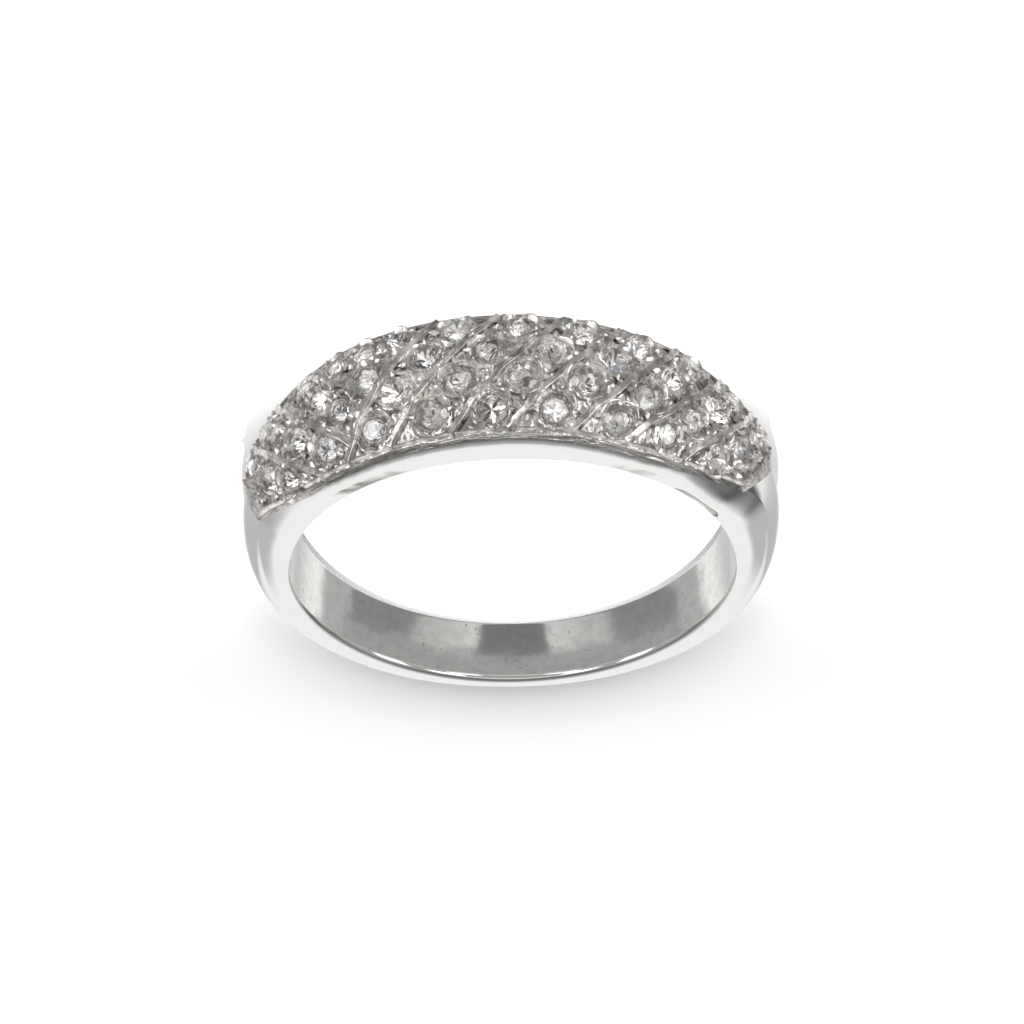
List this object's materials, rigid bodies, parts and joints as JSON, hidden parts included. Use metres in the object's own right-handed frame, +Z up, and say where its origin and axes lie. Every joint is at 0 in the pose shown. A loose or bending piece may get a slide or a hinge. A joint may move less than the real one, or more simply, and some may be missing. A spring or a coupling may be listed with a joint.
{
  "type": "pave ring",
  "caption": "Ring with a domed head set with slanting rows of small round stones between raised ridges, tapering to a plain round shank, lying on its side.",
  "frame": {"origin": "middle of the finger hole, on its axis", "axes": "the ring lies on its side: +Z up, close to the finger hole's axis, which leans a few degrees towards +Y; the head points to -Y and the shank's bottom to +Y"},
  "size_m": [0.0206, 0.0213, 0.0058],
  "materials": {
    "white_gold": "polished white gold",
    "clear_stone": "cut and polished colourless stone"
  },
  "bodies": {
    "root": {"ring_band": "white_gold", "pave_stones": "clear_stone"}
  },
  "joints": []
}
